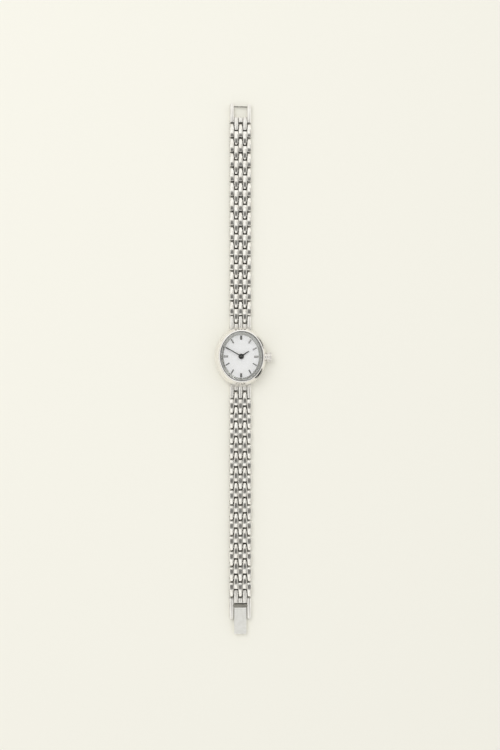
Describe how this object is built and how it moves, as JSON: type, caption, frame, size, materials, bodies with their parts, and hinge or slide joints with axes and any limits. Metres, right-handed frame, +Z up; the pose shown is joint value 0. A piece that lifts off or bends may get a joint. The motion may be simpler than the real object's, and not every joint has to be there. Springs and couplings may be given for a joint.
{
  "type": "wristwatch",
  "caption": "Bracelet watch with an oval steel case, hinged cast links, turning hands, a pull-out crown and a fold-over clasp, laid flat and open.",
  "frame": {"origin": "centre of the case back's rest face", "axes": "+Z up through the dial, +Y to 12 o'clock and the catch frame, +X to the crown"},
  "size_m": [0.0202, 0.1901, 0.006],
  "materials": {
    "polished_steel": "polished",
    "satin_steel": "satin",
    "sandblasted_steel": "matt",
    "dial_paint": "matt",
    "marker_steel": "polished",
    "hand_steel": "polished",
    "mineral_glass": "clear",
    "nylon_seal": "matt",
    "rubber_seal": "matt",
    "movement_plastic": "matt",
    "movement_brass": "satin",
    "board_laminate": "matt",
    "coil_copper": "satin",
    "battery_steel": "satin"
  },
  "bodies": {
    "case": {"mid_case": "polished_steel", "case_back": "satin_steel", "case_back_gasket": "rubber_seal", "bezel": "polished_steel", "crystal": "mineral_glass", "crystal_gasket": "nylon_seal", "lug_pins": "satin_steel", "dial_ring": "sandblasted_steel", "dial": "dial_paint", "hour_markers": "marker_steel", "movement_ring": "movement_plastic", "main_plate": "movement_brass", "train_bridge": "movement_brass", "bridge_screws": "satin_steel", "circuit_board": "board_laminate", "motor_coil": "coil_copper", "battery": "battery_steel", "battery_clip": "satin_steel", "crown_tube": "satin_steel"},
    "minute_hand": {"minute_hand": "hand_steel", "cannon_pinion": "hand_steel"},
    "hour_hand": {"hour_hand": "hand_steel", "hour_wheel": "movement_brass"},
    "minute_wheel": {"minute_wheel": "movement_brass"},
    "setting_pinion": {"setting_pinion": "movement_brass"},
    "crown": {"crown": "polished_steel", "stem": "satin_steel", "crown_gasket": "rubber_seal"},
    "upper_link_01": {"upper_link_01": "polished_steel"},
    "upper_link_02": {"upper_link_02": "polished_steel"},
    "upper_link_03": {"upper_link_03": "polished_steel"},
    "upper_link_04": {"upper_link_04": "polished_steel"},
    "upper_link_05": {"upper_link_05": "polished_steel"},
    "upper_link_06": {"upper_link_06": "polished_steel"},
    "upper_link_07": {"upper_link_07": "polished_steel"},
    "upper_link_08": {"upper_link_08": "polished_steel"},
    "upper_link_09": {"upper_link_09": "polished_steel"},
    "upper_link_10": {"upper_link_10": "polished_steel"},
    "upper_link_11": {"upper_link_11": "polished_steel"},
    "upper_link_12": {"upper_link_12": "polished_steel"},
    "upper_link_13": {"upper_link_13": "polished_steel"},
    "lower_link_01": {"lower_link_01": "polished_steel"},
    "lower_link_02": {"lower_link_02": "polished_steel"},
    "lower_link_03": {"lower_link_03": "polished_steel"},
    "lower_link_04": {"lower_link_04": "polished_steel"},
    "lower_link_05": {"lower_link_05": "polished_steel"},
    "lower_link_06": {"lower_link_06": "polished_steel"},
    "lower_link_07": {"lower_link_07": "polished_steel"},
    "lower_link_08": {"lower_link_08": "polished_steel"},
    "lower_link_09": {"lower_link_09": "polished_steel"},
    "lower_link_10": {"lower_link_10": "polished_steel"},
    "lower_link_11": {"lower_link_11": "polished_steel"},
    "lower_link_12": {"lower_link_12": "polished_steel"},
    "lower_link_13": {"lower_link_13": "polished_steel"},
    "catch_frame": {"catch_frame": "polished_steel", "catch_bar": "polished_steel"},
    "clasp_frame": {"clasp_frame": "polished_steel", "clasp_hinge_pin": "satin_steel"},
    "clasp_plate": {"clasp_plate": "satin_steel"}
  },
  "joints": [
    {"name": "minute_hand_turn", "type": "hinge", "parent": "case", "child": "minute_hand", "pos_m": [0, 0, 0.004], "axis": [0, 0, -1], "continuous": true},
    {"name": "hour_hand_turn", "type": "hinge", "parent": "case", "child": "hour_hand", "pos_m": [0, 0, 0.004], "axis": [0, 0, -1], "continuous": true},
    {"name": "minute_wheel_turn", "type": "hinge", "parent": "case", "child": "minute_wheel", "pos_m": [0, 0.0024, 0.003], "axis": [0, 0, -1], "continuous": true},
    {"name": "crown_turn", "type": "hinge", "parent": "case", "child": "setting_pinion", "pos_m": [0.0038, 0, 0.0024], "axis": [1, 0, 0], "continuous": true},
    {"name": "crown_pull", "type": "slide", "parent": "setting_pinion", "child": "crown", "axis": [1, 0, 0], "range_m": [0, 0.0006]},
    {"name": "upper_hinge_01", "type": "hinge", "parent": "case", "child": "upper_link_01", "pos_m": [0, 0.0135, 0.001], "axis": [1, 0, 0], "range_deg": [-18, 18]},
    {"name": "upper_hinge_02", "type": "hinge", "parent": "upper_link_01", "child": "upper_link_02", "pos_m": [0, 0.0189, 0.001], "axis": [1, 0, 0], "range_deg": [-18, 18]},
    {"name": "upper_hinge_03", "type": "hinge", "parent": "upper_link_02", "child": "upper_link_03", "pos_m": [0, 0.0243, 0.001], "axis": [1, 0, 0], "range_deg": [-18, 18]},
    {"name": "upper_hinge_04", "type": "hinge", "parent": "upper_link_03", "child": "upper_link_04", "pos_m": [0, 0.0297, 0.001], "axis": [1, 0, 0], "range_deg": [-18, 18]},
    {"name": "upper_hinge_05", "type": "hinge", "parent": "upper_link_04", "child": "upper_link_05", "pos_m": [0, 0.0351, 0.001], "axis": [1, 0, 0], "range_deg": [-18, 18]},
    {"name": "upper_hinge_06", "type": "hinge", "parent": "upper_link_05", "child": "upper_link_06", "pos_m": [0, 0.0405, 0.001], "axis": [1, 0, 0], "range_deg": [-18, 18]},
    {"name": "upper_hinge_07", "type": "hinge", "parent": "upper_link_06", "child": "upper_link_07", "pos_m": [0, 0.0459, 0.001], "axis": [1, 0, 0], "range_deg": [-18, 18]},
    {"name": "upper_hinge_08", "type": "hinge", "parent": "upper_link_07", "child": "upper_link_08", "pos_m": [0, 0.0513, 0.001], "axis": [1, 0, 0], "range_deg": [-18, 18]},
    {"name": "upper_hinge_09", "type": "hinge", "parent": "upper_link_08", "child": "upper_link_09", "pos_m": [0, 0.0567, 0.001], "axis": [1, 0, 0], "range_deg": [-18, 18]},
    {"name": "upper_hinge_10", "type": "hinge", "parent": "upper_link_09", "child": "upper_link_10", "pos_m": [0, 0.0621, 0.001], "axis": [1, 0, 0], "range_deg": [-18, 18]},
    {"name": "upper_hinge_11", "type": "hinge", "parent": "upper_link_10", "child": "upper_link_11", "pos_m": [0, 0.0675, 0.001], "axis": [1, 0, 0], "range_deg": [-18, 18]},
    {"name": "upper_hinge_12", "type": "hinge", "parent": "upper_link_11", "child": "upper_link_12", "pos_m": [0, 0.0729, 0.001], "axis": [1, 0, 0], "range_deg": [-18, 18]},
    {"name": "upper_hinge_13", "type": "hinge", "parent": "upper_link_12", "child": "upper_link_13", "pos_m": [0, 0.0783, 0.001], "axis": [1, 0, 0], "range_deg": [-18, 18]},
    {"name": "upper_hinge_14", "type": "hinge", "parent": "upper_link_13", "child": "catch_frame", "pos_m": [0, 0.0837, 0.001], "axis": [1, 0, 0], "range_deg": [-18, 18]},
    {"name": "lower_hinge_01", "type": "hinge", "parent": "case", "child": "lower_link_01", "pos_m": [0, -0.0135, 0.001], "axis": [1, 0, 0], "range_deg": [-18, 18]},
    {"name": "lower_hinge_02", "type": "hinge", "parent": "lower_link_01", "child": "lower_link_02", "pos_m": [0, -0.0189, 0.001], "axis": [1, 0, 0], "range_deg": [-18, 18]},
    {"name": "lower_hinge_03", "type": "hinge", "parent": "lower_link_02", "child": "lower_link_03", "pos_m": [0, -0.0243, 0.001], "axis": [1, 0, 0], "range_deg": [-18, 18]},
    {"name": "lower_hinge_04", "type": "hinge", "parent": "lower_link_03", "child": "lower_link_04", "pos_m": [0, -0.0297, 0.001], "axis": [1, 0, 0], "range_deg": [-18, 18]},
    {"name": "lower_hinge_05", "type": "hinge", "parent": "lower_link_04", "child": "lower_link_05", "pos_m": [0, -0.0351, 0.001], "axis": [1, 0, 0], "range_deg": [-18, 18]},
    {"name": "lower_hinge_06", "type": "hinge", "parent": "lower_link_05", "child": "lower_link_06", "pos_m": [0, -0.0405, 0.001], "axis": [1, 0, 0], "range_deg": [-18, 18]},
    {"name": "lower_hinge_07", "type": "hinge", "parent": "lower_link_06", "child": "lower_link_07", "pos_m": [0, -0.0459, 0.001], "axis": [1, 0, 0], "range_deg": [-18, 18]},
    {"name": "lower_hinge_08", "type": "hinge", "parent": "lower_link_07", "child": "lower_link_08", "pos_m": [0, -0.0513, 0.001], "axis": [1, 0, 0], "range_deg": [-18, 18]},
    {"name": "lower_hinge_09", "type": "hinge", "parent": "lower_link_08", "child": "lower_link_09", "pos_m": [0, -0.0567, 0.001], "axis": [1, 0, 0], "range_deg": [-18, 18]},
    {"name": "lower_hinge_10", "type": "hinge", "parent": "lower_link_09", "child": "lower_link_10", "pos_m": [0, -0.0621, 0.001], "axis": [1, 0, 0], "range_deg": [-18, 18]},
    {"name": "lower_hinge_11", "type": "hinge", "parent": "lower_link_10", "child": "lower_link_11", "pos_m": [0, -0.0675, 0.001], "axis": [1, 0, 0], "range_deg": [-18, 18]},
    {"name": "lower_hinge_12", "type": "hinge", "parent": "lower_link_11", "child": "lower_link_12", "pos_m": [0, -0.0729, 0.001], "axis": [1, 0, 0], "range_deg": [-18, 18]},
    {"name": "lower_hinge_13", "type": "hinge", "parent": "lower_link_12", "child": "lower_link_13", "pos_m": [0, -0.0783, 0.001], "axis": [1, 0, 0], "range_deg": [-18, 18]},
    {"name": "lower_hinge_14", "type": "hinge", "parent": "lower_link_13", "child": "clasp_frame", "pos_m": [0, -0.0837, 0.001], "axis": [1, 0, 0], "range_deg": [-18, 18]},
    {"name": "clasp_plate_swing", "type": "hinge", "parent": "clasp_frame", "child": "clasp_plate", "pos_m": [0, -0.0879, 0.0012], "axis": [-1, 0, 0], "range_deg": [0, 100]}
  ],
  "couplings": [
    {"joint": "minute_wheel_turn", "follows": "minute_hand_turn", "ratio": -0.33333},
    {"joint": "hour_hand_turn", "follows": "minute_hand_turn", "ratio": 0.083333}
  ]
}
